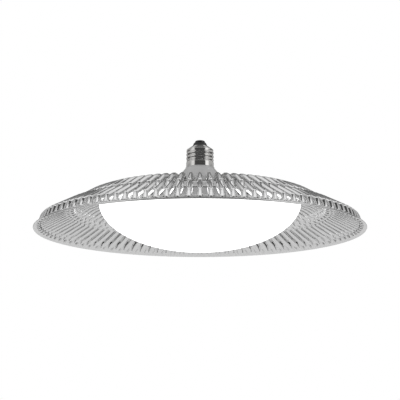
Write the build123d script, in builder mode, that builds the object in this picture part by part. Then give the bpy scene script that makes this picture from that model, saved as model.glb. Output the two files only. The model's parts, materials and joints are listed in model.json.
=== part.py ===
from build123d import *

import math
import os

# Disc-shaped LED lamp: a louvred aluminium dish that is shade and heat sink in one, an opal dome
# under its centre, and a driver housing with an E27 cap on top. Millimetres. The origin is at the
# lower end of the cap, on the axis, and +Z points up along the cap.

# Levels and radii of the dish, measured from its rim
dish_radius = 159.0
cap_above_rim = 62.2
sheet = 1.25
rim_flange = 5.1
rim_flange_rise = 2.9
outer_louvre_length = 26.7
outer_louvre_rise = 12.8
plain_band = 5.6
plain_band_rise = 1.5
shoulder_length = 13.4
shoulder_rise = 7.9
seat_run = 9.2
seat_rise = 3.2
inner_louvre_length = 47.8

# Louvres: strips of the sheet between two radial cuts, pushed out into bridges
outer_louvres = 100
inner_louvres = 80
louvre_lift = 8.7
outer_flank = 5.0
outer_flank_drop = 0.6
shoulder_drop = 4.0
inner_flank = 2.2
inner_crown = 1.3
foot_bend = 1.4

# Opal dome and its snap feet
dome_radius = 97.0
dome_depth = 46.3
dome_wall = 1.8
bowl_steps = 6
snap_feet = 8
snap_foot_depth = 4.0
snap_foot_width = 3.0
snap_stem_below = 5.0
snap_lip = 1.1
snap_lip_height = 1.6
snap_play = 0.2

# LED board, the pad behind it and what is on it
pad_radius = 70.0
pad_thickness = 0.5
board_radius = 88.0
board_thickness = 1.6
chip_length = 3.5
chip_width = 2.8
chip_height = 0.7
chip_ring_radii = (32.0, 55.0, 78.0)
chips_per_ring = (10, 16, 22)
connector_length = 9.0
connector_width = 7.0
connector_height = 4.0
connector_start = 11.0

# Screws
screw_radius = 1.5
screw_head_radius = 2.75
screw_head_height = 2.0
screw_clearance = 0.1
board_screws = 4
board_screw_circle = 64.0
board_screw_tip = 2.4
neck_screws = 3
neck_screw_circle = 37.6
neck_screw_bite = 7.0

# Driver housing and neck
housing_foot_radius = 46.0
housing_foot_height = 2.0
housing_base_radius = 44.0
housing_top_radius = 40.5
housing_top_height = 16.5
housing_wall = 2.0
neck_radius = 16.7
neck_below_cap = 4.2
collar_radius = 13.9
collar_height = 1.2
collar_waist = 14.2
spigot_gap = 0.2
spigot_bore = 9.9
spigot_into_thread = 11.0
boss_radius = 3.3

# E27 cap
cap_skirt_radius = 13.2
cap_skirt_height = 4.8
cap_sheet = 0.4
thread_root_radius = 12.15
thread_crest_radius = 13.15
thread_pitch = 3.62
thread_flat = 0.7
thread_foot = 2.3
cap_thread_top = 17.1
cap_shoulder_radius = 13.0
cap_shoulder_top = 21.4
cap_mouth_radius = 7.2
insulator_top = 24.4
insulator_top_radius = 5.8
insulator_step = 0.8
contact_radius = 4.8
contact_height = 2.2
contact_crown = 1.2
rivet_radius = 0.9
rivet_length = 4.8

# Driver
driver_radius = 32.0
driver_thickness = 1.6
driver_above_dish = 4.5
driver_screws = 3
driver_screw_circle = 27.0
driver_screw_angle = 60.0
driver_screw_bite = 5.0

# What stands on the driver board: size, then centre
transformer_size = (14.0, 6.0, 11.0)
transformer_leg = 2.2
winding_overhang = 2.6
transformer_place = (14.0, 8.0)
bulk_capacitor_size = (5.0, 12.0)
bulk_capacitor_place = (-13.0, -14.0)
output_capacitor_size = (4.0, 11.0)
output_capacitor_place = (-14.0, 12.0)
can_groove = 0.5
film_capacitor_size = (13.0, 5.0, 10.0)
film_capacitor_place = (13.0, -14.5)
rectifier_size = (9.0, 7.0, 2.6)
rectifier_place = (0.0, -20.0)
controller_size = (5.0, 4.0, 1.6)
controller_place = (-4.0, 18.0)
inductor_radius = 4.0
inductor_height = 9.0
inductor_flange = 1.4
inductor_place = (-8.5, 3.0)
fuse_radius = 2.0
fuse_length = 10.0
fuse_place = (22.0, -5.0)
diode_radius = 1.4
diode_length = 5.0
diode_place = (6.0, 17.5)

# Leads and grommet
lead_radius = 0.8
lead_spacing = 3.4
lead_offset = 2.6
lead_bend = 2.4
neutral_offset = 8.4
neutral_end_gap = 0.15
grommet_bore = 4.4
grommet_wall = 1.3
grommet_lip = 1.4
grommet_lip_height = 0.9


def level(height_above_rim):
    """Height in the lamp's own frame of a height measured from the rim."""
    return height_above_rim - cap_above_rim


# Stations of the base sheet from the rim inwards: radius and height of the lower face
rim = (dish_radius, level(0))
outer_end = (dish_radius - rim_flange, rim[1] + rim_flange_rise)
band_outer = (outer_end[0] - outer_louvre_length, outer_end[1] + outer_louvre_rise)
band_inner = (band_outer[0] - plain_band, band_outer[1] + plain_band_rise)
shoulder = (band_inner[0] - shoulder_length, band_inner[1] + shoulder_rise)
seat = (shoulder[0] - seat_run, shoulder[1] + seat_rise)
inner_end = (band_inner[0] - inner_louvre_length, seat[1])

below_rim = rim[1] - sheet
dish_under = seat[1]
dish_top = dish_under + sheet
pad_under = dish_under - pad_thickness
board_under = pad_under - board_thickness
driver_under = dish_top + driver_above_dish
driver_top = driver_under + driver_thickness
grommet_radius = grommet_bore + grommet_wall
grommet_lip_radius = grommet_radius + grommet_lip
lead_hole_radius = grommet_lip_radius + 2 * screw_clearance


def raised(station, lift):
    """The station moved up by a lift."""
    return (station[0], station[1] + lift)


def sector(outline, width):
    """Solid sector centred on +X, this many degrees wide, with the outline as its radial section."""
    turn = math.radians(-width / 2)
    start = Plane(
        origin=(0, 0, 0),
        x_dir=(math.cos(turn), math.sin(turn), 0),
        z_dir=(math.sin(turn), -math.cos(turn), 0),
    )
    with BuildPart(mode=Mode.PRIVATE) as wedge:
        with BuildSketch(start):
            with BuildLine():
                Polyline(*outline, close=True)
            make_face()
        revolve(axis=Axis.Z, revolution_arc=width)
    return wedge.part


def louvre(outer_foot, inner_foot, crest, width):
    """Bridge lump of one louvre and the window under it, as two sectors.

    The lump runs from the sheet up over the crest, and the window is the same outline one sheet
    thickness further in, open downwards, so that what is left of the lump is a bridge of sheet.
    """
    lump = [(outer_foot[0] + foot_bend, outer_foot[1] + sheet / 2)]
    lump += crest
    lump += [(inner_foot[0] - foot_bend, inner_foot[1] + sheet / 2)]
    inside = [(outer_foot[0], below_rim), outer_foot]
    inside += [(outer_foot[0] - outer_flank_drop - sheet, crest[0][1] - sheet)]
    inside += [raised(point, -sheet) for point in crest[1:-1]]
    inside += [(crest[-1][0] + sheet, crest[-1][1] - sheet)]
    inside += [inner_foot, (inner_foot[0], below_rim)]
    return sector(lump, width), sector(inside, width)


# Outer ring: steep rounded flank at the rim end, then parallel to the sheet
outer_slope = outer_louvre_rise / outer_louvre_length
outer_crest = [
    (outer_end[0] - outer_flank_drop, outer_end[1] + louvre_lift - shoulder_drop + sheet),
    (outer_end[0] - outer_flank, outer_end[1] + louvre_lift + outer_flank * outer_slope),
    (
        band_outer[0] + inner_flank,
        band_outer[1] + louvre_lift - inner_flank * outer_slope,
    ),
]
inner_crest = [
    raised((band_inner[0] - outer_flank_drop, band_inner[1]), louvre_lift - shoulder_drop / 4),
    raised(shoulder, louvre_lift),
    raised(seat, louvre_lift),
    raised((inner_end[0] + inner_flank, inner_end[1]), louvre_lift + inner_crown),
]

outer_width = 180 / outer_louvres
inner_width = 180 / inner_louvres
outer_lump, outer_window = louvre(outer_end, band_outer, outer_crest, outer_width)
inner_lump, inner_window = louvre(band_inner, inner_end, inner_crest, inner_width)

with BuildPart() as dish:
    stations = [rim, outer_end, band_outer, band_inner, shoulder, seat, (0, dish_under)]
    with BuildSketch(Plane.XZ):
        with BuildLine():
            Polyline(*stations, *[raised(point, sheet) for point in reversed(stations)], close=True)
        make_face()
    revolve(axis=Axis.Z)
    with PolarLocations(0, outer_louvres):
        add(outer_lump)
    with PolarLocations(0, inner_louvres):
        add(inner_lump)
    with PolarLocations(0, outer_louvres):
        add(outer_window, mode=Mode.SUBTRACT)
    with PolarLocations(0, inner_louvres):
        add(inner_window, mode=Mode.SUBTRACT)
    with BuildSketch(Plane.XY.offset(dish_under)):
        Circle(grommet_radius)
        with PolarLocations(board_screw_circle, board_screws, start_angle=45):
            Circle(screw_radius + screw_clearance)
        with PolarLocations(neck_screw_circle, neck_screws):
            Circle(screw_radius + screw_clearance)
    extrude(amount=sheet, mode=Mode.SUBTRACT)
dish.part.label = "heat_sink_dish"


snap_foot_circle = dome_radius - dome_wall / 2 - snap_foot_depth / 2
snap_windows = [round((foot + 0.5) * inner_louvres / snap_feet) for foot in range(snap_feet)]
snap_angles = [window * 360 / inner_louvres for window in snap_windows]

def bowl_points(radius, depth):
    """Points on a quarter ellipse from the bottom of the bowl up to its rim under the dish."""
    turns = [math.pi / 2 * step / bowl_steps for step in range(bowl_steps + 1)]
    return [(radius * math.sin(turn), dish_under - depth * math.cos(turn)) for turn in turns]


with BuildPart() as dome:
    with BuildSketch(Plane.XZ):
        with BuildLine():
            bowl = [
                Spline(*bowl_points(radius, depth), tangents=[(1, 0), (0, 1)])
                for radius, depth in (
                    (dome_radius, dome_depth),
                    (dome_radius - dome_wall, dome_depth - dome_wall),
                )
            ]
            Line(bowl[0] @ 0, bowl[1] @ 0)
            Line(bowl[0] @ 1, bowl[1] @ 1)
        make_face()
    revolve(axis=Axis.Z)
    with BuildSketch(Plane.XY.offset(dish_under - snap_stem_below)):
        for angle in snap_angles:
            with PolarLocations(snap_foot_circle, 1, start_angle=angle):
                Rectangle(snap_foot_depth, snap_foot_width)
    extrude(amount=snap_stem_below + sheet + snap_play + snap_lip_height)
    with BuildSketch(Plane.XY.offset(dish_top + snap_play)):
        for angle in snap_angles:
            with PolarLocations(snap_foot_circle, 1, start_angle=angle):
                Rectangle(snap_foot_depth, snap_foot_width + 2 * snap_lip)
    extrude(amount=snap_lip_height, taper=20)
dome.part.label = "diffuser_dome"


with BuildPart() as pad:
    with BuildSketch(Plane.XY.offset(pad_under)):
        Circle(pad_radius)
        Circle(lead_hole_radius, mode=Mode.SUBTRACT)
        with PolarLocations(board_screw_circle, board_screws, start_angle=45):
            Circle(screw_radius + screw_clearance, mode=Mode.SUBTRACT)
        with PolarLocations(neck_screw_circle, neck_screws):
            Circle(screw_head_radius + screw_clearance, mode=Mode.SUBTRACT)
    extrude(amount=pad_thickness)
pad.part.label = "thermal_pad"


with BuildPart() as led_board:
    with BuildSketch(Plane.XY.offset(board_under)):
        Circle(board_radius)
        Circle(lead_hole_radius, mode=Mode.SUBTRACT)
        with PolarLocations(board_screw_circle, board_screws, start_angle=45):
            Circle(screw_radius + screw_clearance, mode=Mode.SUBTRACT)
        with PolarLocations(neck_screw_circle, neck_screws):
            Circle(screw_head_radius + screw_clearance, mode=Mode.SUBTRACT)
    extrude(amount=board_thickness)
led_board.part.label = "led_board"


with BuildPart() as chips:
    with BuildSketch(Plane.XY.offset(board_under)):
        for ring_radius, ring_count in zip(chip_ring_radii, chips_per_ring):
            with PolarLocations(ring_radius, ring_count, start_angle=90 / ring_count):
                Rectangle(chip_width, chip_length)
    extrude(amount=-chip_height)
chips.part.label = "led_chips"


with BuildPart() as connector:
    with BuildSketch(Plane.XY.offset(board_under)):
        with Locations((connector_start + connector_length / 2, 0)):
            Rectangle(connector_length, connector_width)
    extrude(amount=-connector_height)
    chamfer(connector.edges().group_by(Axis.Z)[0].sort_by(Axis.X)[-1], length=connector_height / 3)
    with BuildSketch(Plane.YZ.offset(connector_start)):
        for side in (-1, 1):
            with Locations((side * lead_spacing / 2, board_under - connector_height / 2)):
                Circle(lead_radius + screw_clearance)
    extrude(amount=connector_length / 2, mode=Mode.SUBTRACT)
connector.part.label = "led_connector"


def screw(tip_height, seat_height):
    """Pan-head screw on the axis, its head hanging under the seat and its shank ending at the tip."""
    with BuildPart(mode=Mode.PRIVATE) as body:
        with BuildSketch(Plane.XY.offset(seat_height)):
            Circle(screw_radius)
        extrude(amount=tip_height - seat_height)
        with BuildSketch(Plane.XY.offset(seat_height)):
            Circle(screw_head_radius)
        extrude(amount=-screw_head_height, taper=12)
        with BuildSketch(Plane.XY.offset(seat_height - screw_head_height)):
            Rectangle(screw_head_radius, screw_radius / 2)
            Rectangle(screw_radius / 2, screw_head_radius)
        extrude(amount=screw_head_height / 2, mode=Mode.SUBTRACT)
    return body.part


with BuildPart() as board_fixings:
    with PolarLocations(board_screw_circle, board_screws, start_angle=45):
        add(screw(dish_top + board_screw_tip, board_under))
board_fixings.part.label = "led_board_screws"


with BuildPart() as neck_fixings:
    with PolarLocations(neck_screw_circle, neck_screws):
        add(screw(dish_top + neck_screw_bite, dish_under))
neck_fixings.part.label = "housing_screws"


# Driver housing: drum on the dish, concave flare and collar up to the cap, and a spigot inside it
collar_top = 0.0
flare_top = (neck_radius, collar_top - neck_below_cap)
flare_low = (housing_top_radius, dish_top + housing_top_height)
cap_inner_skirt = cap_skirt_radius - cap_sheet - spigot_gap
spigot_radius = thread_root_radius - cap_sheet - spigot_gap
spigot_top = cap_skirt_height + spigot_into_thread
flare_middle = (
    neck_radius + 0.30 * (housing_top_radius - neck_radius),
    flare_top[1] + 0.46 * (flare_low[1] - flare_top[1]),
)
inner_low = (housing_top_radius - housing_wall, flare_low[1] - housing_wall)
inner_middle = (flare_middle[0] - housing_wall / 2, flare_middle[1] - housing_wall)

with BuildPart() as housing:
    with BuildSketch(Plane.XZ):
        with BuildLine():
            Polyline(
                (housing_base_radius - housing_wall, dish_top),
                (housing_foot_radius, dish_top),
                (housing_foot_radius, dish_top + housing_foot_height),
                (housing_base_radius, dish_top + housing_foot_height),
                flare_low,
            )
            ThreePointArc(flare_low, flare_middle, flare_top)
            Polyline(
                flare_top,
                (collar_waist, collar_top - collar_height),
                (collar_radius, collar_top - collar_height),
                (collar_radius, collar_top),
                (cap_inner_skirt, collar_top),
                (cap_inner_skirt, cap_skirt_height - spigot_gap),
                (spigot_radius, cap_skirt_height),
                (spigot_radius, spigot_top),
                (spigot_bore, spigot_top),
                (spigot_bore, flare_top[1]),
            )
            ThreePointArc((spigot_bore, flare_top[1]), inner_middle, inner_low)
            Line(inner_low, (housing_base_radius - housing_wall, dish_top))
        make_face()
    revolve(axis=Axis.Z)
    with BuildSketch(Plane.XY.offset(dish_top)):
        with PolarLocations(neck_screw_circle, neck_screws):
            Circle(boss_radius)
            Rectangle(2 * boss_radius, boss_radius)
    extrude(until=Until.NEXT)
    with BuildSketch(Plane.XY.offset(driver_top)):
        with PolarLocations(driver_screw_circle, driver_screws, start_angle=driver_screw_angle):
            Circle(boss_radius)
    extrude(until=Until.NEXT)
    with BuildSketch(Plane.XY.offset(dish_top)):
        with PolarLocations(neck_screw_circle, neck_screws):
            Circle(screw_radius + screw_clearance)
    extrude(amount=neck_screw_bite + screw_clearance, mode=Mode.SUBTRACT)
    with BuildSketch(Plane.XY.offset(driver_top)):
        with PolarLocations(driver_screw_circle, driver_screws, start_angle=driver_screw_angle):
            Circle(screw_radius + screw_clearance)
    extrude(amount=driver_screw_bite + screw_clearance, mode=Mode.SUBTRACT)
housing.part.label = "driver_housing"


# Cap shell: skirt, threaded tube and shoulder of thin sheet, with the thread as a helical ridge
ridge_start = cap_skirt_height + cap_sheet + thread_foot / 2
ridge_rise = cap_thread_top - cap_sheet - thread_foot / 2 - ridge_start

with BuildPart() as shell:
    with BuildSketch(Plane.XZ):
        with BuildLine():
            outside = Polyline(
                (cap_skirt_radius, 0),
                (cap_skirt_radius, cap_skirt_height),
                (thread_root_radius, cap_skirt_height + cap_sheet),
                (thread_root_radius, cap_thread_top - cap_sheet),
                (cap_shoulder_radius, cap_thread_top),
                (cap_mouth_radius, cap_shoulder_top),
            )
            inside = Polyline(
                (cap_skirt_radius - cap_sheet, 0),
                (cap_skirt_radius - cap_sheet, cap_skirt_height),
                (thread_root_radius - cap_sheet, cap_skirt_height + cap_sheet),
                (thread_root_radius - cap_sheet, cap_thread_top - cap_sheet),
                (cap_mouth_radius - cap_sheet, cap_shoulder_top - cap_sheet),
            )
            Line(outside @ 0, inside @ 0)
            Line(outside @ 1, inside @ 1)
        make_face()
    revolve(axis=Axis.Z)
    with BuildLine() as thread_path:
        Helix(
            pitch=thread_pitch,
            height=ridge_rise,
            radius=thread_root_radius,
            center=(0, 0, ridge_start),
        )
    with BuildSketch(Plane.XZ):
        with BuildLine():
            Polyline(
                (thread_root_radius - cap_sheet / 2, ridge_start - thread_foot / 2),
                (thread_crest_radius, ridge_start - thread_flat / 2),
                (thread_crest_radius, ridge_start + thread_flat / 2),
                (thread_root_radius - cap_sheet / 2, ridge_start + thread_foot / 2),
                close=True,
            )
        make_face()
    sweep(path=thread_path.line, is_frenet=True)
shell.part.label = "screw_shell"


with BuildPart() as insulator:
    with BuildSketch(Plane.XZ):
        with BuildLine():
            Polyline(
                (rivet_radius + screw_clearance, cap_shoulder_top - 2 * insulator_step),
                (cap_mouth_radius - 2 * insulator_step, cap_shoulder_top - 2 * insulator_step),
                (cap_mouth_radius - insulator_step, cap_shoulder_top - cap_sheet),
                (cap_mouth_radius - cap_sheet, cap_shoulder_top),
                (cap_mouth_radius, cap_shoulder_top),
                (insulator_top_radius, insulator_top),
                (rivet_radius + screw_clearance, insulator_top),
                close=True,
            )
        make_face()
    revolve(axis=Axis.Z)
insulator.part.label = "cap_insulator"


with BuildPart() as contact:
    with BuildSketch(Plane.XY.offset(insulator_top)):
        Circle(contact_radius)
    extrude(amount=contact_height)
    fillet(contact.edges().sort_by(Axis.Z)[-1], radius=contact_crown)
    with BuildSketch(Plane.XY.offset(insulator_top)):
        Circle(rivet_radius)
    extrude(amount=-rivet_length)
contact.part.label = "centre_contact"


with BuildPart() as grommet:
    with BuildSketch(Plane.XY.offset(dish_under - grommet_lip_height)):
        Circle(grommet_lip_radius)
    extrude(amount=sheet + 2 * grommet_lip_height)
    with BuildSketch(Plane.XY.offset(dish_under)):
        Circle(grommet_lip_radius)
        Circle(grommet_radius, mode=Mode.SUBTRACT)
    extrude(amount=sheet, mode=Mode.SUBTRACT)
    with BuildSketch(Plane.XY.offset(dish_under - grommet_lip_height)):
        Circle(grommet_bore)
    extrude(amount=sheet + 2 * grommet_lip_height, mode=Mode.SUBTRACT)
grommet.part.label = "lead_grommet"


with BuildPart() as driver:
    with BuildSketch(Plane.XY.offset(driver_under)):
        Circle(driver_radius)
        with PolarLocations(driver_screw_circle, driver_screws, start_angle=driver_screw_angle):
            Circle(screw_radius + screw_clearance, mode=Mode.SUBTRACT)
    extrude(amount=driver_thickness)
driver.part.label = "driver_board"


with BuildPart() as driver_fixings:
    with PolarLocations(driver_screw_circle, driver_screws, start_angle=driver_screw_angle):
        add(screw(driver_top + driver_screw_bite, driver_under))
driver_fixings.part.label = "driver_screws"


with BuildPart() as core:
    with BuildSketch(Plane.XY.offset(driver_top)):
        with Locations(transformer_place):
            Rectangle(transformer_size[0], transformer_size[1])
    extrude(amount=transformer_size[2])
    with BuildSketch(Plane.XY.offset(driver_top + transformer_leg)):
        with Locations(transformer_place):
            Rectangle(transformer_size[0] - 2 * transformer_leg, transformer_size[1])
    extrude(amount=transformer_size[2] - 2 * transformer_leg, mode=Mode.SUBTRACT)
core.part.label = "transformer_core"


with BuildPart() as winding:
    with BuildSketch(Plane.XY.offset(driver_top + transformer_leg)):
        with Locations(transformer_place):
            RectangleRounded(
                transformer_size[0] - 2 * transformer_leg - screw_clearance,
                transformer_size[1] + 2 * winding_overhang,
                winding_overhang / 2,
            )
    extrude(amount=transformer_size[2] - 2 * transformer_leg)
winding.part.label = "transformer_winding"


def can(size, place):
    """Electrolytic capacitor: an upright can with the crimped groove above its foot."""
    radius, height = size
    with BuildPart(mode=Mode.PRIVATE) as body:
        with BuildSketch(Plane.XY.offset(driver_top)):
            with Locations(place):
                Circle(radius)
        extrude(amount=height)
        fillet(body.edges().sort_by(Axis.Z)[-1], radius=can_groove)
        with BuildSketch(Plane.XY.offset(driver_top + 3 * can_groove)):
            with Locations(place):
                Circle(radius)
                Circle(radius - can_groove, mode=Mode.SUBTRACT)
        extrude(amount=2 * can_groove, mode=Mode.SUBTRACT)
    return body.part


with BuildPart() as bulk_capacitor:
    add(can(bulk_capacitor_size, bulk_capacitor_place))
bulk_capacitor.part.label = "bulk_capacitor"


with BuildPart() as output_capacitor:
    add(can(output_capacitor_size, output_capacitor_place))
output_capacitor.part.label = "output_capacitor"


def block(size, place):
    """Moulded box on the driver board."""
    with BuildPart(mode=Mode.PRIVATE) as body:
        with BuildSketch(Plane.XY.offset(driver_top)):
            with Locations(place):
                Rectangle(size[0], size[1])
        extrude(amount=size[2])
        chamfer(body.edges().group_by(Axis.Z)[-1], length=size[2] / 10)
    return body.part


with BuildPart() as film_capacitor:
    add(block(film_capacitor_size, film_capacitor_place))
film_capacitor.part.label = "film_capacitor"


with BuildPart() as rectifier:
    add(block(rectifier_size, rectifier_place))
rectifier.part.label = "bridge_rectifier"


with BuildPart() as controller:
    add(block(controller_size, controller_place))
controller.part.label = "driver_ic"


with BuildPart() as inductor:
    with BuildSketch(Plane.XY.offset(driver_top)):
        with Locations(inductor_place):
            Circle(inductor_radius)
    extrude(amount=inductor_height)
    with BuildSketch(Plane.XY.offset(driver_top + inductor_flange)):
        with Locations(inductor_place):
            Circle(inductor_radius)
            Circle(inductor_radius - inductor_flange / 2, mode=Mode.SUBTRACT)
    extrude(amount=inductor_height - 2 * inductor_flange, mode=Mode.SUBTRACT)
inductor.part.label = "filter_inductor"


with BuildPart() as fuse:
    with BuildSketch(Plane.XZ.offset(-fuse_place[1] - fuse_length / 2)):
        with Locations((fuse_place[0], driver_top + fuse_radius)):
            Circle(fuse_radius)
    extrude(amount=fuse_length)
    chamfer(fuse.edges().filter_by(GeomType.CIRCLE), length=fuse_radius / 4)
fuse.part.label = "fuse_resistor"


with BuildPart() as diode:
    with BuildSketch(Plane.YZ.offset(diode_place[0] - diode_length / 2)):
        with Locations((diode_place[1], driver_top + diode_radius)):
            Circle(diode_radius)
    extrude(amount=diode_length)
diode.part.label = "output_diode"


with BuildPart() as live_lead:
    with BuildSketch(Plane.XY.offset(driver_top)):
        Circle(lead_radius)
    extrude(amount=insulator_top - rivet_length - driver_top)
live_lead.part.label = "live_lead"


# The neutral lead ends under the sloping shoulder of the cap, where it is soldered
shoulder_fall = (cap_shoulder_top - cap_thread_top) / (thread_root_radius - cap_mouth_radius)
neutral_reach = thread_root_radius - cap_sheet - neutral_offset - lead_radius
neutral_top = cap_thread_top - cap_sheet + neutral_reach * shoulder_fall - neutral_end_gap

with BuildPart() as neutral_lead:
    with BuildSketch(Plane.XY.offset(driver_top)):
        with Locations((0, -neutral_offset)):
            Circle(lead_radius)
    extrude(amount=neutral_top - driver_top)
neutral_lead.part.label = "neutral_lead"


def led_lead(side, name):
    """Lead from under the driver board through the grommet, bent into the LED connector."""
    exit_height = board_under - connector_height / 2
    across = side * lead_spacing / 2
    with BuildPart(mode=Mode.PRIVATE) as lead:
        with BuildLine() as route:
            FilletPolyline(
                (lead_offset, across, driver_under),
                (lead_offset, across, exit_height),
                (connector_start + connector_length / 3, across, exit_height),
                radius=lead_bend,
            )
        with BuildSketch(Plane.XY.offset(driver_under)):
            with Locations((lead_offset, across)):
                Circle(lead_radius)
        sweep(path=route.line)
    lead.part.label = name
    return lead.part


led_leads = [led_lead(1, "led_lead_positive"), led_lead(-1, "led_lead_negative")]


os.makedirs("parts", exist_ok=True)
for piece in (
    dish,
    dome,
    pad,
    led_board,
    chips,
    connector,
    board_fixings,
    neck_fixings,
    housing,
    shell,
    insulator,
    contact,
    grommet,
    driver,
    driver_fixings,
    core,
    winding,
    bulk_capacitor,
    output_capacitor,
    film_capacitor,
    rectifier,
    controller,
    inductor,
    fuse,
    diode,
    live_lead,
    neutral_lead,
):
    export_step(piece.part, f"parts/{piece.part.label}.step")
for lead in led_leads:
    export_step(lead, f"parts/{lead.label}.step")
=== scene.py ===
"""Studio view of a disc-shaped LED lamp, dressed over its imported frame.

The lamp hangs cap up: a louvred aluminium dish, a lit opal dome under it, a driver housing on it
and a threaded cap. All lengths are in metres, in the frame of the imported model.
"""

from __future__ import annotations

import json
import logging
import math
from dataclasses import dataclass, field
from enum import Enum

import bmesh
import bpy
import numpy as np
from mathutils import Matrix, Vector

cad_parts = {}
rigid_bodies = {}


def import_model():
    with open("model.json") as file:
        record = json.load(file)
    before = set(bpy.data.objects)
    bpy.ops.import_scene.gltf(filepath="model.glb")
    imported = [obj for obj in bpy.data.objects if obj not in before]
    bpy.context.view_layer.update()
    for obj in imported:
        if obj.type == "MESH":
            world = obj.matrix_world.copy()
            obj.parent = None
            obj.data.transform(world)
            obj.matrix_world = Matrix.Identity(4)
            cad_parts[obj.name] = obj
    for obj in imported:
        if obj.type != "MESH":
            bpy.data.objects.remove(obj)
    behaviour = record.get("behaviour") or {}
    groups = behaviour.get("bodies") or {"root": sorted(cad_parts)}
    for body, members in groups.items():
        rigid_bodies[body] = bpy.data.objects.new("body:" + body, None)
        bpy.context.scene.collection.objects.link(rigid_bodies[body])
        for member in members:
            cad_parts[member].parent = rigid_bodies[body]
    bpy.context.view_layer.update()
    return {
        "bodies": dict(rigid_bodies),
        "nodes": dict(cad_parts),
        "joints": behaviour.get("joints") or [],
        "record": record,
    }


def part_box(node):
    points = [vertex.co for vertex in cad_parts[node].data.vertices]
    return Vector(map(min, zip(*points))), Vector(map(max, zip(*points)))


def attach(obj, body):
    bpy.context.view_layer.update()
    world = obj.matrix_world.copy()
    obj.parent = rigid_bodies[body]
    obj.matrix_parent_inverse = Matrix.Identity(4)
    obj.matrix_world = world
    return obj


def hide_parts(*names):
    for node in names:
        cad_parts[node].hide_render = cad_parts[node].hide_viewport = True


LOG = logging.getLogger("lamp")
BODY = "root"
MM = 0.001
INNER_FACE = "inner_face"
WHITE = (1.0, 1.0, 1.0, 1.0)
BLACK = (0.0, 0.0, 0.0, 1.0)
OCTAVES = 3.0
RAMP_START, RAMP_END = 0.3, 0.7
WELD = 1e-6
SLIVER = 1e-7
FLAT_SHARP = 30.0


class Slot(Enum):
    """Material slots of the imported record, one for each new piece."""

    DISH = "bright_aluminium"
    DOME = "opal_diffuser"
    CAP = "nickel_plate"


class Field(Enum):
    """Coordinates that a grain can follow."""

    OBJECT = "object"
    AROUND = "around the axis"


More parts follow.
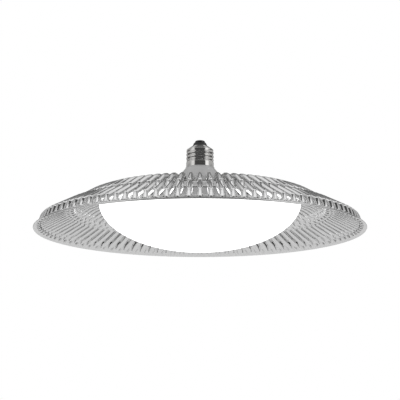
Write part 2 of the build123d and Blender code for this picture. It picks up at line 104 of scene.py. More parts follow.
class Graph:
    """Node tree of one material, with short calls for what the finishes need."""

    def __init__(self, name: str) -> None:
        """Starts an empty material with an output.

        Args:
            name: Name of the material.
        """
        self.material = bpy.data.materials.new(name)
        self.material.use_nodes = True
        self.tree = self.material.node_tree
        self.tree.nodes.clear()
        output = self.tree.nodes.new("ShaderNodeOutputMaterial")
        self.shader = self.tree.nodes.new("ShaderNodeBsdfPrincipled")
        self.tree.links.new(self.shader.outputs[0], output.inputs["Surface"])

    def node(self, kind: str, **settings: object) -> bpy.types.Node:
        """Adds a node and sets its properties.

        Args:
            kind: Type name of the node.
            **settings: Properties of the node.

        Returns:
            The new node.
        """
        made = self.tree.nodes.new(kind)
        for key, value in settings.items():
            setattr(made, key, value)
        return made

    def link(self, source: bpy.types.NodeSocket, target: bpy.types.NodeSocket) -> None:
        """Joins two sockets."""
        self.tree.links.new(source, target)

    def math(self, operation: str, first: object, second: object = 0.0) -> bpy.types.NodeSocket:
        """Adds a math node.

        Args:
            operation: Name of the operation.
            first: Socket or number for the first input.
            second: Socket or number for the second input.

        Returns:
            The result's socket.
        """
        made = self.node("ShaderNodeMath", operation=operation)
        for socket, value in zip(made.inputs, (first, second)):
            if isinstance(value, (int, float)):
                socket.default_value = value
            else:
                self.link(value, socket)
        return made.outputs[0]

    def coordinates(self, follows: Field, scale: tuple[float, float, float]) -> bpy.types.NodeSocket:
        """Coordinates of the surface, scaled.

        Around the axis, x is the turn in radians, y the distance from the axis and z the height.

        Args:
            follows: Which coordinates the pattern follows.
            scale: Factors on the three coordinates.

        Returns:
            The socket of the scaled coordinates.
        """
        place = self.node("ShaderNodeTexCoord").outputs["Object"]
        if follows is Field.AROUND:
            parts = self.node("ShaderNodeSeparateXYZ")
            self.link(place, parts.inputs[0])
            x, y, z = parts.outputs
            turn = self.math("ARCTAN2", y, x)
            squares = self.math("ADD", self.math("MULTIPLY", x, x), self.math("MULTIPLY", y, y))
            joined = self.node("ShaderNodeCombineXYZ")
            for source, socket in zip((turn, self.math("SQRT", squares), z), joined.inputs):
                self.link(source, socket)
            place = joined.outputs[0]
        mapping = self.node("ShaderNodeMapping")
        mapping.inputs["Scale"].default_value = scale
        self.link(place, mapping.inputs["Vector"])
        return mapping.outputs[0]

    def noise(self, vector: bpy.types.NodeSocket, scale: float) -> bpy.types.NodeSocket:
        """Noise of the given scale on a vector.

        Args:
            vector: Coordinates of the noise.
            scale: Cells per unit of the coordinates.

        Returns:
            The noise's value socket.
        """
        made = self.node("ShaderNodeTexNoise")
        made.inputs["Scale"].default_value = scale
        made.inputs["Detail"].default_value = OCTAVES
        self.link(vector, made.inputs["Vector"])
        return made.outputs[0]

    def ramp(self, value: bpy.types.NodeSocket, low: object, high: object) -> bpy.types.NodeSocket:
        """Maps a value between the ramp's start and end to a range of numbers, or of colours.

        Args:
            value: The value to map.
            low: Number or colour at the ramp's start.
            high: Number or colour at its end.

        Returns:
            The mapped socket.
        """
        if isinstance(low, (int, float)):
            made = self.node("ShaderNodeMapRange")
            made.inputs["From Min"].default_value = RAMP_START
            made.inputs["From Max"].default_value = RAMP_END
            made.inputs["To Min"].default_value = low
            made.inputs["To Max"].default_value = high
            self.link(value, made.inputs["Value"])
            return made.outputs[0]
        made = self.node("ShaderNodeValToRGB")
        made.color_ramp.elements[0].position = RAMP_START
        made.color_ramp.elements[1].position = RAMP_END
        made.color_ramp.elements[0].color = (*low, 1.0)
        made.color_ramp.elements[1].color = (*high, 1.0)
        self.link(value, made.inputs[0])
        return made.outputs[0]

    def bump(self, height: bpy.types.NodeSocket, depth: float) -> None:
        """Bends the shader's normal by a height.

        Args:
            height: The height's socket, 0 to 1.
            depth: Depth of the bump in metres.
        """
        made = self.node("ShaderNodeBump")
        made.inputs["Strength"].default_value = 1.0
        made.inputs["Distance"].default_value = depth
        self.link(height, made.inputs["Height"])
        self.link(made.outputs[0], self.shader.inputs["Normal"])


@dataclass(frozen=True)
class Finish:
    """Surface with a grain that varies its colour, gloss and relief a little.

    Attributes:
        name: Name of the material.
        colour: Base colour.
        roughness: Middle roughness.
        metallic: 1 for bare metal.
        spread: How far colour and roughness swing, as a share.
        grain: Cells per metre of the grain.
        stretch: Factors on the grain's coordinates.
        relief: Depth of the grain in metres.
        follows: Coordinates that the grain follows.
    """

    name: str
    colour: tuple[float, float, float]
    roughness: float
    metallic: float = 0.0
    spread: float = 0.06
    grain: float = 900.0
    stretch: tuple[float, float, float] = (1.0, 1.0, 1.0)
    relief: float = 0.00002
    follows: Field = Field.OBJECT

    def material(self) -> bpy.types.Material:
        """Builds the material.

        Returns:
            The new material.
        """
        graph = Graph(self.name)
        value = graph.noise(graph.coordinates(self.follows, self.stretch), self.grain)
        low = tuple(part * (1 - self.spread) for part in self.colour)
        high = tuple(min(part * (1 + self.spread), 1.0) for part in self.colour)
        graph.link(graph.ramp(value, low, high), graph.shader.inputs["Base Color"])
        swing = 2 * self.spread * self.roughness
        rough = graph.ramp(value, self.roughness - swing, self.roughness + swing)
        graph.shader.inputs["Metallic"].default_value = self.metallic
        graph.link(self.local_roughness(graph, rough), graph.shader.inputs["Roughness"])
        graph.bump(value, self.relief)
        return graph.material

    def local_roughness(self, graph: Graph, rough: bpy.types.NodeSocket) -> bpy.types.NodeSocket:
        """Lets the gloss differ over the piece. A plain finish has only its grain.

        Args:
            graph: The material's nodes.
            rough: The roughness so far.

        Returns:
            The roughness to use.
        """
        return rough


@dataclass(frozen=True)
class TwoFacedSheet(Finish):
    """Sheet metal that is bright outside and a little more satin on its inner face.

    Attributes:
        satin: How much rougher the inner face is.
    """

    satin: float = 0.1

    def local_roughness(self, graph: Graph, rough: bpy.types.NodeSocket) -> bpy.types.NodeSocket:
        """Turns the sheet satin where the mesh is marked as its inner face."""
        mark = graph.node("ShaderNodeAttribute", attribute_name=INNER_FACE).outputs["Fac"]
        return graph.math("ADD", rough, graph.math("MULTIPLY", mark, self.satin))


@dataclass(frozen=True)
class LitOpal(Finish):
    """Opal plastic lit from behind by white light.

    Attributes:
        glow: Strength of its light.
    """

    glow: float = 1.5

    def material(self) -> bpy.types.Material:
        """Builds the plain finish and lights it.

        Returns:
            The new material.
        """
        made = super().material()
        shader = next(node for node in made.node_tree.nodes if node.type == "BSDF_PRINCIPLED")
        shader.inputs["Emission Color"].default_value = WHITE
        shader.inputs["Emission Strength"].default_value = self.glow
        return made


@dataclass(frozen=True)
class FlagCloth(Finish):
    """Dark cloth with a grey band between two heights.

    Attributes:
        foot: Height where the grey band starts.
        head: Height where it ends.
        fade: Height over which the colour turns.
        grey: Grey of the band.
    """

    foot: float = 0.0
    head: float = 1.0
    fade: float = 0.02
    grey: float = 0.5

    def material(self) -> bpy.types.Material:
        """Builds the cloth: the band is where the height is past its foot and short of its head.

        Returns:
            The new material.
        """
        graph = Graph(self.name)
        parts = graph.node("ShaderNodeSeparateXYZ")
        graph.link(graph.coordinates(Field.OBJECT, (1.0, 1.0, 1.0)), parts.inputs[0])
        height = parts.outputs["Z"]
        past_foot = graph.math("DIVIDE", graph.math("SUBTRACT", height, self.foot), self.fade)
        to_head = graph.math("DIVIDE", graph.math("SUBTRACT", self.head, height), self.fade)
        share = graph.math("MINIMUM", past_foot, to_head)
        share = graph.math("ADD", graph.math("MULTIPLY", share, RAMP_END - RAMP_START), RAMP_START)
        graph.link(graph.ramp(share, self.colour, (self.grey,) * 3), graph.shader.inputs["Base Color"])
        graph.shader.inputs["Roughness"].default_value = self.roughness
        return graph.material


@dataclass
class Shell:
    """Mesh in the making: vertex blocks and the quads over them."""

    blocks: list[np.ndarray] = field(default_factory=list)
    sides: list[np.ndarray] = field(default_factory=list)
    quads: list[np.ndarray] = field(default_factory=list)
    count: int = 0

    def grid(self, points: np.ndarray, around: bool = False, inner: object = 0.0) -> None:
        """Adds a grid of quads, or a stack of grids.

        Args:
            points: Array of shape (rows, columns, 3), or (grids, rows, columns, 3).
            around: Whether the last column joins the first.
            inner: 1 on the sheet's inner face and 0 elsewhere, as one number or one for each row.
        """
        index = np.arange(points.size // 3).reshape(points.shape[:-1]) + self.count
        if around:
            index = np.concatenate([index, index[..., :1]], axis=-1)
        low, high = index[..., :-1, :], index[..., 1:, :]
        faces = np.stack([low[..., :-1], low[..., 1:], high[..., 1:], high[..., :-1]], axis=-1)
        self.blocks.append(points.reshape(-1, 3))
        self.sides.append(np.broadcast_to(inner, points.shape[:-1]).ravel())
        self.quads.append(faces.reshape(-1, 4))
        self.count += points.size // 3

    def make(self, name: str, sharp: float) -> bpy.types.Object:
        """Welds the grids into one closed mesh, faces outwards, smooth up to an angle.

        Args:
            name: Name of the object.
            sharp: Edges that bend more than this, in degrees, stay sharp.

        Returns:
            The new object, at the origin.
        """
        mesh = bpy.data.meshes.new(name)
        vertices = np.concatenate(self.blocks)
        mesh.from_pydata(vertices.tolist(), [], np.concatenate(self.quads).tolist())
        side = mesh.attributes.new(INNER_FACE, "FLOAT", "POINT")
        side.data.foreach_set("value", np.concatenate(self.sides).astype(np.float32))
        form = bmesh.new()
        form.from_mesh(mesh)
        bmesh.ops.remove_doubles(form, verts=form.verts, dist=WELD)
        bmesh.ops.dissolve_degenerate(form, edges=form.edges, dist=SLIVER)
        bmesh.ops.recalc_face_normals(form, faces=form.faces)
        form.to_mesh(mesh)
        form.free()
        mesh.polygons.foreach_set("use_smooth", np.ones(len(mesh.polygons), dtype=bool))
        mesh.set_sharp_from_angle(angle=math.radians(sharp))
        made = bpy.data.objects.new(name, mesh)
        bpy.context.scene.collection.objects.link(made)
        return made


def rounded_path(corners: np.ndarray, radii: list[float], steps: list[int]) -> np.ndarray:
    """Path through corners with each inner corner rounded by an arc.

    Each arc's tangent length is its radius times the tangent of half the turn, and its points are
    the quadratic blend of the two tangent points and the corner, which stays close to the arc.

    Args:
        corners: Array of shape (n, 2).
        radii: Radius at each inner corner.
        steps: Points on each inner corner's arc.

    Returns:
        The points, of shape (2 + sum of steps, 2).
    """
    points = [corners[:1]]
    for corner in range(1, len(corners) - 1):
        back = corners[corner - 1] - corners[corner]
        ahead = corners[corner + 1] - corners[corner]
        back, ahead = back / np.linalg.norm(back), ahead / np.linalg.norm(ahead)
        opening = math.acos(float(np.clip(back @ ahead, -1.0, 1.0)))
        reach = radii[corner - 1] / math.tan(opening / 2)
        share = np.linspace(0.0, 1.0, steps[corner - 1])[:, None]
        start, end = corners[corner] + back * reach, corners[corner] + ahead * reach
        blend = (1 - share) ** 2 * start + 2 * share * (1 - share) * corners[corner] + share**2 * end
        points.append(blend)
    points.append(corners[-1:])
    return np.concatenate(points)


def offset_path(path: np.ndarray, distance: float) -> np.ndarray:
    """Path moved square to itself, to the right of its direction.

    Args:
        path: Points of shape (n, 2).
        distance: How far.

    Returns:
        The moved points.
    """
    run = np.gradient(path, axis=0)
    run /= np.linalg.norm(run, axis=1, keepdims=True)
    return path + distance * np.stack([run[:, 1], -run[:, 0]], axis=1)


def turned(radius: np.ndarray, height: np.ndarray, angle: np.ndarray) -> np.ndarray:
    """Points at radius, height and angle about the axis, as x, y, z."""
    return np.stack([radius * np.cos(angle), radius * np.sin(angle), height + 0 * angle], axis=-1)


@dataclass
class LouvreRing:
    """One ring of louvres: its count, its radial section and the columns across each louvre.

    Attributes:
        count: Number of louvres.
        bridge: Outer face of a raised strip, radius and height from the rim inwards.
        land: Outer face of the sheet between strips, with as many points.
        bridge_columns: Quads across a strip.
        land_columns: Quads across the sheet between two strips.
        droop: How far a strip's cut edges lie below its middle.
        edge_power: Power by which the droop grows from the middle to the cut edges.
        fade_power: Power by which it fades towards the strip's two ends.
    """

    count: int
    bridge: np.ndarray
    land: np.ndarray
    bridge_columns: int
    land_columns: int
    droop: float
    edge_power: int = 3
    fade_power: float = 0.7

    def across(self, columns: int) -> np.ndarray:
        """Angles across a ribbon from its middle, closer together towards its cut edges."""
        quarter = math.pi / self.count / 2
        return quarter * np.sin(np.linspace(-math.pi / 2, math.pi / 2, columns + 1))

    def angles(self) -> np.ndarray:
        """Angles of all columns around the ring, one strip and one land after another."""
        half = math.pi / self.count
        strip = self.across(self.bridge_columns)[:-1]
        land = self.across(self.land_columns)[:-1] + half
        first = np.arange(self.count)[:, None] * 2 * half
        return (first + np.concatenate([strip, land])[None, :]).ravel()

    def ribbons(
        self, path: np.ndarray, columns: int, middle: float, droop: float, depth: float
    ) -> np.ndarray:
        """Faces of one kind of ribbon for the whole ring, at a depth under its outer face.

        The section is carried across the ribbon's width. Each point moves inwards, square to the
        section, by the depth and by the droop times a power of its share of the half width, and
        the droop fades to nothing at the section's two ends as a power of a half sine wave.

        Args:
            path: The outer face's radial section.
            columns: Quads across the ribbon.
            middle: Angle of the first ribbon's middle.
            droop: How far the cut edges lie below the middle.
            depth: How far the face lies under the outer face.

        Returns:
            Points of shape (count, rows, columns + 1, 3).
        """
        across = self.across(columns)
        inwards = offset_path(path, -1.0) - path
        fade = np.sin(np.linspace(0, math.pi, len(path)))[:, None] ** self.fade_power
        sink = depth + droop * fade * np.abs(across / across[-1])[None, :] ** self.edge_power
        section = path[:, None, :] + sink[..., None] * inwards[:, None, :]
        turn = np.arange(self.count)[:, None, None] * 2 * math.pi / self.count + middle + across
        return turned(section[None, ..., 0] + 0 * turn, section[None, ..., 1] + 0 * turn, turn)

    def add_to(self, shell: Shell, thickness: float) -> None:
        """Adds every strip and land of the ring as closed ribbons of sheet.

        Args:
            shell: The mesh to add to.
            thickness: Thickness of the sheet.
        """
        half = math.pi / self.count
        for path, columns, middle, droop in (
            (self.bridge, self.bridge_columns, 0.0, self.droop),
            (self.land, self.land_columns, half, 0.0),
        ):
            outside = self.ribbons(path, columns, middle, droop, 0.0)
            inside = self.ribbons(path, columns, middle, droop, thickness)
            shell.grid(outside)
            shell.grid(inside, inner=1.0)
            for side in (0, -1):
                shell.grid(np.stack([outside[:, :, side], inside[:, :, side]], axis=2))


@dataclass
class LouvredDish:
    """The stamped dish: plain rim, two rings of louvres with a plain band between, flat centre.

    Lengths in the radial section are given from the rim inwards and up from the rim. A strip leaves
    the sheet at its foot, bends up into its flank and bends again on to its crest. The crests'
    corners are given as how far they lie past the strip's ends, or within them, and above the sheet
    raised by the lift. Columns are quads across a strip and across the sheet between two strips.
    """

    radius: float
    rim_height: float
    thickness: float = 1.25 * MM
    flange: float = 5.1 * MM
    flange_rise: float = 2.9 * MM
    outer_run: float = 26.7 * MM
    outer_rise: float = 12.8 * MM
    band: float = 5.6 * MM
    band_rise: float = 1.5 * MM
    shoulder_run: float = 13.4 * MM
    shoulder_rise: float = 7.9 * MM
    seat_run: float = 9.2 * MM
    seat_rise: float = 3.2 * MM
    inner_run: float = 47.8 * MM
    hole: float = 5.7 * MM
    lift: float = 8.7 * MM
    droop: float = 3.2 * MM
    foot_start: float = 1.0 * MM
    foot_end: float = 2.2 * MM
    foot_bend: float = 1.1 * MM
    outer_bend: float = 3.6 * MM
    crest_bend: float = 9.0 * MM
    inner_bend: float = 2.4 * MM
    outer_flank: float = 1.6 * MM
    outer_flank_rise: float = 0.6 * MM
    outer_end_flank: float = 1.4 * MM
    inner_flank: float = 1.2 * MM
    inner_flank_rise: float = 1.0 * MM
    inner_end_flank: float = 1.6 * MM
    inner_end_rise: float = 1.4 * MM
    lip_bends: tuple[float, float] = (0.35 * MM, 0.5 * MM)
    outer_count: int = 100
    inner_count: int = 80
    outer_columns: tuple[int, int] = (3, 1)
    inner_columns: tuple[int, int] = (3, 2)
    centre_rings: int = 6
    sharp: float = 72.0

    def section(self) -> np.ndarray:
        """Stations of the sheet's upper face from the rim to the flat centre."""
        steps = np.array(
            [
                (0.0, 0.0),
                (self.flange, self.flange_rise),
                (self.outer_run, self.outer_rise),
                (self.band, self.band_rise),
                (self.shoulder_run, self.shoulder_rise),
                (self.seat_run, self.seat_rise),
            ]
        )
        reach = np.cumsum(steps, axis=0)
        top = self.rim_height + self.thickness
        return np.stack([self.radius - reach[:, 0], top + reach[:, 1]], axis=1)

    def sheet_height(self, radius: np.ndarray) -> np.ndarray:
        """Height of the sheet's upper face at a radius, by straight runs between its stations."""
        stations = self.section()[::-1]
        return np.interp(radius, stations[:, 0], stations[:, 1])

    def ring(
        self, start: float, end: float, crest: np.ndarray, count: int, columns: tuple[int, int]
    ) -> LouvreRing:
        """Lays out one ring of louvres between two radii.

        The strip rises from the sheet in a steep flank, runs over its crest and drops again. The
        land follows the sheet at the radii of the strip's points, held between the two ends.

        Args:
            start: Radius where the strip leaves the sheet, near the rim.
            end: Radius where it comes back.
            crest: Corners of the strip's top, radius and height.
            count: Number of louvres.
            columns: Quads across a strip and across a land.

        Returns:
            The ring.
        """
        outward = np.array([self.foot_end, self.foot_start])
        ends = np.concatenate([start + outward, end - outward[::-1]])
        feet = np.stack([ends, self.sheet_height(ends)], axis=1)
        corners = np.concatenate([feet[:2], crest, feet[2:]])
        between = len(crest) - 2
        bends = [self.outer_bend, *[self.crest_bend] * between, self.inner_bend]
        radii = [self.foot_bend, *bends, self.foot_bend]
        steps = [2, 4, *[2] * between, 4, 2]
        bridge = rounded_path(corners, radii, steps)
        reach = np.linspace(ends[0], ends[-1], len(bridge))
        land = np.stack([reach, self.sheet_height(reach)], axis=1)
        return LouvreRing(count, bridge, land, *columns, droop=self.droop)

    def rings(self) -> tuple[LouvreRing, LouvreRing]:
        """The outer and the inner ring of louvres."""
        stations = self.section()
        outer, band_out, band_in = stations[1], stations[2], stations[3]
        shoulder, seat = stations[4], stations[5]
        end = band_in[0] - self.inner_run
        proud = self.lift - self.thickness
        slope = self.outer_rise / self.outer_run
        outer_crest = np.array(
            [
                (outer[0] - self.outer_flank, outer[1] + proud + self.outer_flank_rise * slope),
                (band_out[0] + self.outer_end_flank, band_out[1] + proud - self.outer_end_flank * slope),
            ]
        )
        inner_crest = np.array(
            [
                (band_in[0] - self.inner_flank, band_in[1] + proud + self.inner_flank_rise),
                (shoulder[0], shoulder[1] + proud),
                (seat[0], seat[1] + proud),
                (end + self.inner_end_flank, seat[1] + proud + self.inner_end_rise),
            ]
        )
        return (
            self.ring(outer[0], band_out[0], outer_crest, self.outer_count, self.outer_columns),
            self.ring(band_in[0], end, inner_crest, self.inner_count, self.inner_columns),
        )

    def collar(self, shell: Shell, path: np.ndarray, first: np.ndarray, last: np.ndarray) -> None:
        """Adds a plain ring of sheet between two rows of columns.

        The angles of its columns go evenly from those of the first row to those of the last.

        Args:
            shell: The mesh to add to.
            path: Upper face, radius and height, from the rim inwards.
            first: Angles of the columns at the path's start.
            last: Angles of the columns at its end.
        """
        share = np.linspace(0.0, 1.0, len(path))[:, None]
        angle = (1 - share) * first[None, :] + share * last[None, :]
        for inner, line in enumerate((path, offset_path(path, -self.thickness))):
            points = turned(line[:, :1] + 0 * angle, line[:, 1:] + 0 * angle, angle)
            shell.grid(points, around=True, inner=inner)

    def lip(self, shell: Shell, land: np.ndarray, angles: np.ndarray) -> None:
        """Adds the rim: the sheet's two faces to its edge, which is cut square to the sheet.

        Args:
            shell: The mesh to add to.
            land: Upper face of the sheet, from the rim's first louvre inwards.
            angles: Angles of the columns.
        """
        lean = math.atan2(self.flange_rise, self.flange)
        foot = (self.radius - self.thickness * math.sin(lean), self.rim_height)
        head = (self.radius, self.rim_height + self.thickness * math.cos(lean))
        under = offset_path(land, -self.thickness)[:1]
        corners = np.concatenate([under, [foot], [head], land[:1]])
        path = rounded_path(corners, list(self.lip_bends), [3, 3])
        inner = np.array([1.0, 1.0, 1.0, 0.5, 0.0, 0.0, 0.0, 0.0])[:, None]
        angle = np.broadcast_to(angles, (len(path), len(angles)))
        points = turned(path[:, :1] + 0 * angle, path[:, 1:] + 0 * angle, angle)
        shell.grid(points, around=True, inner=inner)

    def build(self) -> bpy.types.Object:
        """Builds the whole dish as one closed sheet.

        Returns:
            The dish.
        """
        shell = Shell()
        outer, inner = self.rings()
        outer_angles, inner_angles = outer.angles(), inner.angles()
        for ring in (outer, inner):
            ring.add_to(shell, self.thickness)
        self.lip(shell, outer.land, outer_angles)
        self.collar(shell, np.stack([outer.land[-1], inner.land[0]]), outer_angles, inner_angles)
        centre = np.linspace(inner.land[-1, 0], self.hole, self.centre_rings)
        flat = np.stack([centre, np.full_like(centre, inner.land[-1, 1])], axis=1)
        self.collar(shell, flat, inner_angles, inner_angles)
        edge = np.stack([flat[-1], offset_path(flat, -self.thickness)[-1]])
        angle = np.broadcast_to(inner_angles, (2, len(inner_angles)))
        shell.grid(turned(edge[:, :1] + 0 * angle, edge[:, 1:] + 0 * angle, angle), around=True)
        return shell.make("louvred_dish", self.sharp)


@dataclass
class OpalDome:
    """The lit dome: half an ellipsoid of even wall whose rim seats against the dish."""

    radius: float
    rim_height: float
    depth: float
    wall: float = 1.8 * MM
    columns: int = 160
    rows: int = 40
    sharp: float = 50.0

    def bowl(self, radius: float, depth: float) -> np.ndarray:
        """Quarter ellipse turned about the axis, from the bottom up to the rim."""
        rise = np.linspace(0.0, math.pi / 2, self.rows)[:, None]
        angle = np.linspace(0.0, 2 * math.pi, self.columns, endpoint=False)[None, :]
        height = self.rim_height - depth * np.cos(rise)
        return turned(radius * np.sin(rise) + 0 * angle, height + 0 * angle, angle)

    def build(self) -> bpy.types.Object:
        """Builds the dome's outer and inner faces and the rim between them.

        Returns:
            The dome.
        """
        shell = Shell()
        outside = self.bowl(self.radius, self.depth)
        inside = self.bowl(self.radius - self.wall, self.depth - self.wall)
        shell.grid(outside, around=True)
        shell.grid(inside, around=True)
        shell.grid(np.stack([outside[-1], inside[-1]]), around=True)
        return shell.make("opal_dome", self.sharp)


@dataclass
class ScrewShell:
    """The cap's rolled sheet: skirt, knuckle thread, shoulder.

    The gaps are the lengths left between the skirt or the shoulder and the thread's tube, and
    between them and the heights where the thread starts to swell and has sunk again.
    """

    skirt_radius: float
    skirt_height: float = 4.8 * MM
    root: float = 12.73 * MM
    crest: float = 13.15 * MM
    pitch: float = 3.62 * MM
    thread_top: float = 17.1 * MM
    shoulder_radius: float = 13.0 * MM
    top: float = 21.4 * MM
    mouth: float = 7.2 * MM
    sheet: float = 0.4 * MM
    skirt_gap: float = 0.9 * MM
    head_gap: float = 0.5 * MM
    shoulder_gap: float = 0.3 * MM
    skirt_bend: float = 0.4 * MM
    shoulder_bend: float = 0.7 * MM
    swell_start_gap: float = 0.6 * MM
    swell_end_gap: float = 0.2 * MM
    swell_pitches: float = 0.4
    columns: int = 120
    rows: int = 56
    sharp: float = 60.0

    def profile(self) -> np.ndarray:
        """Radius and height of the sheet's outer face without its thread."""
        start, end = self.skirt_height + self.skirt_gap, self.thread_top - self.head_gap
        thread = np.linspace(start, end, self.rows)
        tube = np.stack([np.full_like(thread, self.root), thread], axis=1)
        rim, shoulder = self.skirt_radius, (self.shoulder_radius, self.thread_top + self.shoulder_gap)
        skirt = np.array([(rim, 0.0), (rim, self.skirt_height), (self.root, start)])
        head = np.array([(self.root, end), shoulder, (self.mouth, self.top)])
        low = rounded_path(skirt, [self.skirt_bend], [4])
        high = rounded_path(head, [self.shoulder_bend], [5])
        return np.concatenate([low, tube[1:-1], high])

    def wound(self, path: np.ndarray) -> np.ndarray:
        """Turns the profile about the axis and swells it where the thread passes.

        The swell is a cosine wave of the height over the pitch less the turn, raised to lie between
        0 and 1, and it fades in and out near the two ends of the thread.

        Args:
            path: Radius and height of the plain face.

        Returns:
            Points of shape (rows, columns, 3).
        """
        angle = np.linspace(0.0, 2 * math.pi, self.columns, endpoint=False)[None, :]
        radius, height = path[:, :1], path[:, 1:]
        wave = 0.5 + 0.5 * np.cos(2 * math.pi * (height / self.pitch) - angle)
        fade = self.swell_pitches * self.pitch
        low = np.clip((height - self.skirt_height - self.swell_start_gap) / fade, 0.0, 1.0)
        high = np.clip((self.thread_top - self.swell_end_gap - height) / fade, 0.0, 1.0)
        swell = (self.crest - self.root) * wave * low * high
        return turned(radius + swell, height + 0 * angle, angle)

    def build(self) -> bpy.types.Object:
        """Builds the outer and inner faces and the edges between them.

        Returns:
            The shell.
        """
        shell = Shell()
        path = self.profile()
        outside, inside = self.wound(path), self.wound(offset_path(path, -self.sheet))
        inside[0, :, 2] = outside[0, :, 2]
        edges = [np.stack([outside[row], inside[row]]) for row in (0, -1)]
        for points in (outside, inside, *edges):
            shell.grid(points, around=True)
        return shell.make("threaded_cap_shell", self.sharp)


@dataclass(frozen=True)
class Softbox:
    """Rectangular soft lamp, aimed at the object from a side and a height, unseen in reflections.

    Attributes:
        name: Name of the lamp.
        azimuth: Its side in degrees: 0 behind the camera, 90 to the right, 180 behind the object.
        elevation: Its height in degrees.
        distance: How far it stands from the object.
        width: Its side along the ground.
        height: Its other side.
        radiance: Brightness of its face, where 1 is white.
    """

    name: str
    azimuth: float
    elevation: float
    distance: float
    width: float
    height: float
    radiance: float

    def build(self, target: Vector) -> None:
        """Adds the lamp.

        Args:
            target: What it faces.
        """
        data = bpy.data.lights.new(self.name, "AREA")
        data.shape = "RECTANGLE"
        data.size = self.width
        data.size_y = self.height
        data.energy = self.radiance * math.pi * self.width * self.height
        made = bpy.data.objects.new(self.name, data)
        turn, rise = math.radians(self.azimuth), math.radians(self.elevation)
        away = Vector((math.sin(turn) * math.cos(rise), -math.cos(turn) * math.cos(rise), math.sin(rise)))
        made.location = target + away * self.distance
        made.rotation_euler = (-away).to_track_quat("-Z", "Y").to_euler()
        made.visible_glossy = False
        bpy.context.scene.collection.objects.link(made)


@dataclass(frozen=True)
class Card:
    """White, grey or dark card around the object, for its bright metal to reflect.

    It is a patch of a sphere about the object, seen by reflections and not by the camera.

    Attributes:
        name: Name of the card.
        azimuths: The two sides it reaches between, in degrees as for a lamp.
        elevations: The two heights it reaches between, in degrees.
        grey: Brightness of its face, where 1 is white.
        radius: Distance from the object.
        columns: Points from side to side.
        rows: Points from foot to head.
    """

    name: str
    azimuths: tuple[float, float]
    elevations: tuple[float, float]
    grey: float
    radius: float = 2.8
    columns: int = 25
    rows: int = 13

    def build(self, target: Vector) -> None:
        """Adds the card as a patch of the sphere x, y, z = r cos e sin a, -r cos e cos a, r sin e.

        Args:
            target: Centre of the sphere.
        """
        turn = np.radians(np.linspace(*self.azimuths, self.columns))[None, :]
        rise = np.radians(np.linspace(*self.elevations, self.rows))[:, None]
        flat = self.radius * np.cos(rise)
        height = self.radius * np.sin(rise) + 0 * turn
        points = np.stack([flat * np.sin(turn), -flat * np.cos(turn), height], axis=-1)
        shell = Shell()
        shell.grid(points + np.array(target))
        made = shell.make(self.name, FLAT_SHARP)
        graph = Graph(self.name)
        graph.shader.inputs["Base Color"].default_value = BLACK
        graph.shader.inputs["Roughness"].default_value = 1.0
        graph.shader.inputs["Specular IOR Level"].default_value = 0.0
        graph.shader.inputs["Emission Color"].default_value = WHITE
        graph.shader.inputs["Emission Strength"].default_value = self.grey
        made.data.materials.append(graph.material)
        made.visible_camera = False
        made.visible_diffuse = False
        made.visible_shadow = False


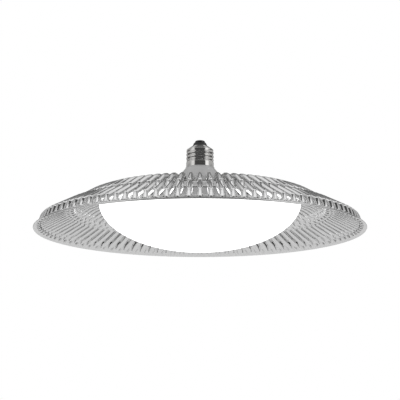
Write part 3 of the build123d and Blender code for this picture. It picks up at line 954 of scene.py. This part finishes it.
@dataclass
class Studio:
    """Camera, soft lamps, cards, floor and backdrop.

    Attributes:
        target: The rim's centre, which the camera and the lamps face.
        distance: From the target to the camera.
        elevation: Height of the camera in degrees, below the rim where negative.
        lens: Focal length in millimetres on the sensor's width.
        sensor: Width of the sensor in millimetres.
        reach: How far the camera sees.
        aim_up: Degrees by which the camera looks over the target.
        floor_drop: How far the floor lies under the rim.
        floor_radius: Radius of the floor.
        flag_back: How far the flag stands behind the object.
        flag_height: Height of the flag's centre over the rim.
        flag_half_width: Half the flag's width.
        flag_above: How far the flag reaches over its centre.
        flag_below: How far it reaches under its centre.
        band_below: How far its grey band reaches under its centre.
        band_above: How far the band reaches over its centre.
        world_light: Brightness of the world where neither camera nor reflections see it.
        lamps: The soft lamps.
        cards: The cards.
    """

    target: Vector
    distance: float = 1.3626
    elevation: float = -10.0
    lens: float = 128.2
    sensor: float = 36.0
    reach: float = 50.0
    aim_up: float = 1.26
    floor_drop: float = 2.4
    floor_radius: float = 6.8
    flag_back: float = 40.0
    flag_height: float = 7.211
    flag_half_width: float = 4.392
    flag_above: float = 1.464
    flag_below: float = 0.732
    band_below: float = 0.479
    band_above: float = 0.845
    world_light: float = 0.75
    lamps: tuple[Softbox, ...] = (
        Softbox("soft_left", -75.0, 30.0, 2.3, 0.9, 1.2, 1.0),
        Softbox("soft_right", 75.0, 30.0, 2.3, 0.9, 1.2, 1.0),
    )
    cards: tuple[Card, ...] = (
        Card("dark_canopy", (0.0, 360.0), (3.0, 90.0), 0.16, 3.0),
        Card("pale_horizon", (95.0, 265.0), (-35.0, 3.0), 0.64, 3.0),
        Card("grey_sides", (-152.0, 152.0), (12.0, 56.0), 0.45, 2.9),
        Card("pale_behind_left", (215.0, 265.0), (40.0, 70.0), 0.80),
        Card("pale_behind_right", (95.0, 145.0), (40.0, 70.0), 0.80),
        Card("grey_behind", (145.0, 215.0), (42.0, 70.0), 0.60),
        Card("dark_behind_high", (159.0, 201.0), (52.0, 72.0), 0.10, 2.7),
        Card("grey_above", (-90.0, 270.0), (80.0, 90.0), 0.30),
        Card("pale_front_high", (-90.0, 90.0), (56.0, 80.0), 0.95),
        Card("white_left", (-78.0, -48.0), (-4.0, 30.0), 0.75),
        Card("white_right", (48.0, 78.0), (-4.0, 30.0), 1.0),
        Card("dark_front", (-46.0, 46.0), (-32.0, 56.0), 0.06),
        Card("dark_low_front", (-95.0, 95.0), (-30.0, -2.0), 0.12, 2.9),
        Card("dark_left", (-130.0, -95.0), (-20.0, 14.0), 0.08),
        Card("dark_right", (95.0, 130.0), (-20.0, 14.0), 0.08),
    )

    def camera(self) -> None:
        """Sets the camera at the photograph's angle, aimed a little above the rim's centre."""
        data = bpy.data.cameras.new("studio_camera")
        data.lens = self.lens
        data.sensor_width = self.sensor
        data.clip_end = self.reach
        made = bpy.data.objects.new("studio_camera", data)
        lean = math.radians(self.elevation)
        away = Vector((0.0, -math.cos(lean), math.sin(lean)))
        made.location = self.target + away * self.distance
        made.rotation_euler = (math.radians(90.0 + self.aim_up) - lean, 0.0, 0.0)
        bpy.context.scene.collection.objects.link(made)
        bpy.context.scene.camera = made

    def floor(self) -> None:
        """Lays the round pale floor that the lamp hangs above, as rings about its centre."""
        reach = np.linspace(0.0, self.floor_radius, 5)[:, None]
        turn = np.linspace(0.0, 2 * math.pi, 96, endpoint=False)[None, :]
        height = self.target.z - self.floor_drop
        shell = Shell()
        shell.grid(turned(reach + 0 * turn, height + 0 * reach * turn, turn), around=True)
        made = shell.make("studio_floor", FLAT_SHARP)
        pale = Finish("pale_floor", (0.85, 0.85, 0.85), 0.7, grain=3.0, spread=0.01)
        made.data.materials.append(pale.material())

    def flag(self) -> None:
        """Stands a dark card far behind the lamp, which hides it from the camera.

        The slots of the dish's far side show it. Rings about its centre reach one height above it
        and another below it.
        """
        share = np.linspace(0.0, 1.0, 9)[:, None]
        turn = np.linspace(0.0, 2 * math.pi, 48, endpoint=False)[None, :]
        reach = np.where(np.sin(turn) > 0, self.flag_above, self.flag_below)
        x, z = self.flag_half_width * share * np.cos(turn), reach * share * np.sin(turn)
        height = self.target.z + self.flag_height
        shell = Shell()
        shell.grid(np.stack([x, 0 * x + self.flag_back, z + height], axis=-1), around=True)
        made = shell.make("dark_flag", FLAT_SHARP)
        foot, head = height - self.band_below, height + self.band_above
        cloth = FlagCloth("dark_cloth", (0.01, 0.01, 0.01), 0.9, foot=foot, head=head)
        made.data.materials.append(cloth.material())
        made.visible_glossy = False
        made.visible_shadow = False

    def world(self) -> None:
        """White backdrop to the camera, reflections and clear pieces, and a softer light elsewhere."""
        world = bpy.data.worlds.new("studio_world")
        bpy.context.scene.world = world
        world.use_nodes = True
        tree = world.node_tree
        tree.nodes.clear()
        output = tree.nodes.new("ShaderNodeOutputWorld")
        mixed = tree.nodes.new("ShaderNodeMixShader")
        rays = tree.nodes.new("ShaderNodeLightPath")
        for socket, strength in ((1, self.world_light), (2, 1.0)):
            backdrop = tree.nodes.new("ShaderNodeBackground")
            backdrop.inputs["Color"].default_value = WHITE
            backdrop.inputs["Strength"].default_value = strength
            tree.links.new(backdrop.outputs[0], mixed.inputs[socket])
        share = rays.outputs["Is Camera Ray"]
        for name in ("Is Glossy Ray", "Is Transmission Ray"):
            either = tree.nodes.new("ShaderNodeMath")
            either.operation = "MAXIMUM"
            tree.links.new(share, either.inputs[0])
            tree.links.new(rays.outputs[name], either.inputs[1])
            share = either.outputs[0]
        tree.links.new(share, mixed.inputs[0])
        tree.links.new(mixed.outputs[0], output.inputs["Surface"])

    def build(self) -> None:
        """Builds the whole studio."""
        self.camera()
        self.floor()
        self.flag()
        self.world()
        for piece in (*self.lamps, *self.cards):
            piece.build(self.target)


@dataclass
class Lamp:
    """The whole lamp: new surfaces over the frame, and finishes for every node.

    Attributes:
        frame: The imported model, with its nodes.
        finishes: Every finish of the lamp.
        node_finish: Name of the finish of each node that keeps its own solid.
    """

    frame: dict
    finishes: tuple[Finish, ...] = (
        TwoFacedSheet(
            "stamped_aluminium",
            (0.86, 0.86, 0.86),
            0.16,
            metallic=1.0,
            spread=0.05,
            grain=40.0,
            stretch=(6.0, 0.6, 0.6),
            relief=0.00001,
            follows=Field.AROUND,
        ),
        LitOpal("lit_opal", (0.96, 0.96, 0.95), 0.35, grain=300.0, spread=0.01, relief=0.000005),
        Finish("silver_moulding", (0.48, 0.48, 0.48), 0.38, grain=1800.0),
        Finish("nickel_plate", (0.86, 0.85, 0.83), 0.14, 1.0, 0.05, 500.0),
        Finish("black_glaze", (0.02, 0.02, 0.02), 0.5),
        Finish("dull_tin", (0.1, 0.1, 0.1), 0.45, 1.0, 0.05, 900.0),
        Finish("white_mask", (0.88, 0.89, 0.88), 0.4),
        Finish("yellow_phosphor", (0.92, 0.78, 0.28), 0.35),
        Finish("zinc_screw", (0.72, 0.73, 0.74), 0.3, 1.0, 0.08, 1500.0),
        Finish("green_laminate", (0.03, 0.2, 0.09), 0.35, grain=700.0, spread=0.15),
        Finish("grey_ferrite", (0.05, 0.05, 0.055), 0.6),
        Finish("black_moulding", (0.03, 0.03, 0.033), 0.45),
        Finish("white_nylon", (0.85, 0.85, 0.8), 0.5),
        Finish("yellow_tape", (0.85, 0.6, 0.08), 0.25),
        Finish("ochre_case", (0.6, 0.26, 0.05), 0.3),
        Finish("grey_enamel", (0.3, 0.38, 0.34), 0.4),
        Finish("grey_silicone", (0.4, 0.42, 0.45), 0.75),
        Finish("black_rubber", (0.03, 0.03, 0.03), 0.7),
        Finish("brown_insulation", (0.16, 0.06, 0.025), 0.4),
        Finish("blue_insulation", (0.03, 0.09, 0.4), 0.4),
        Finish("red_insulation", (0.5, 0.02, 0.02), 0.4),
    )
    node_finish: dict[str, str] = field(
        default_factory=lambda: {
            "driver_housing": "silver_moulding",
            "cap_insulator": "black_glaze",
            "centre_contact": "dull_tin",
            "thermal_pad": "grey_silicone",
            "led_board": "white_mask",
            "led_chips": "yellow_phosphor",
            "led_connector": "white_nylon",
            "led_board_screws": "zinc_screw",
            "housing_screws": "zinc_screw",
            "driver_screws": "zinc_screw",
            "lead_grommet": "black_rubber",
            "driver_board": "green_laminate",
            "transformer_core": "grey_ferrite",
            "transformer_winding": "yellow_tape",
            "bulk_capacitor": "black_glaze",
            "output_capacitor": "black_glaze",
            "film_capacitor": "ochre_case",
            "bridge_rectifier": "black_moulding",
            "driver_ic": "black_moulding",
            "filter_inductor": "grey_ferrite",
            "fuse_resistor": "grey_enamel",
            "output_diode": "black_moulding",
            "live_lead": "brown_insulation",
            "neutral_lead": "blue_insulation",
            "led_lead_positive": "red_insulation",
            "led_lead_negative": "black_moulding",
        }
    )

    def place(self, piece: bpy.types.Object, material: bpy.types.Material, slot: Slot, *nodes: str) -> None:
        """Gives a new piece its material and its place in the frame.

        Args:
            piece: The new piece.
            material: Its material.
            slot: Record slot of the piece; not used.
            *nodes: Nodes that it stands for.
        """
        piece.data.materials.append(material)
        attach(piece, BODY)
        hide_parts(*nodes)
        LOG.info("%s stands for %s, %d faces", piece.name, ", ".join(nodes), len(piece.data.polygons))

    def build(self) -> None:
        """Builds the new surfaces and dresses the carried-over nodes."""
        materials = {finish.name: finish.material() for finish in self.finishes}
        low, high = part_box("heat_sink_dish")
        dish = LouvredDish(radius=high.x, rim_height=low.z)
        self.place(dish.build(), materials["stamped_aluminium"], Slot.DISH, "heat_sink_dish")
        seat = float(dish.section()[-1, 1]) - dish.thickness
        low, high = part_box("diffuser_dome")
        dome = OpalDome(radius=high.x, rim_height=seat, depth=seat - low.z)
        self.place(dome.build(), materials["lit_opal"], Slot.DOME, "diffuser_dome")
        _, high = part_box("screw_shell")
        cap = ScrewShell(skirt_radius=high.x)
        self.place(cap.build(), materials["nickel_plate"], Slot.CAP, "screw_shell")
        for node, finish in self.node_finish.items():
            piece = self.frame["nodes"][node]
            piece.data.materials.clear()
            piece.data.materials.append(materials[finish])
            LOG.info("%s dressed in %s", node, finish)


def main() -> None:
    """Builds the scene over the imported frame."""
    logging.basicConfig(level=logging.INFO, format="%(name)s: %(message)s")
    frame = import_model()
    bpy.context.scene.view_settings.view_transform = "Standard"
    low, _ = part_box("heat_sink_dish")
    Studio(target=Vector((0.0, 0.0, low.z))).build()
    Lamp(frame).build()


if __name__ == "__main__":
    main()
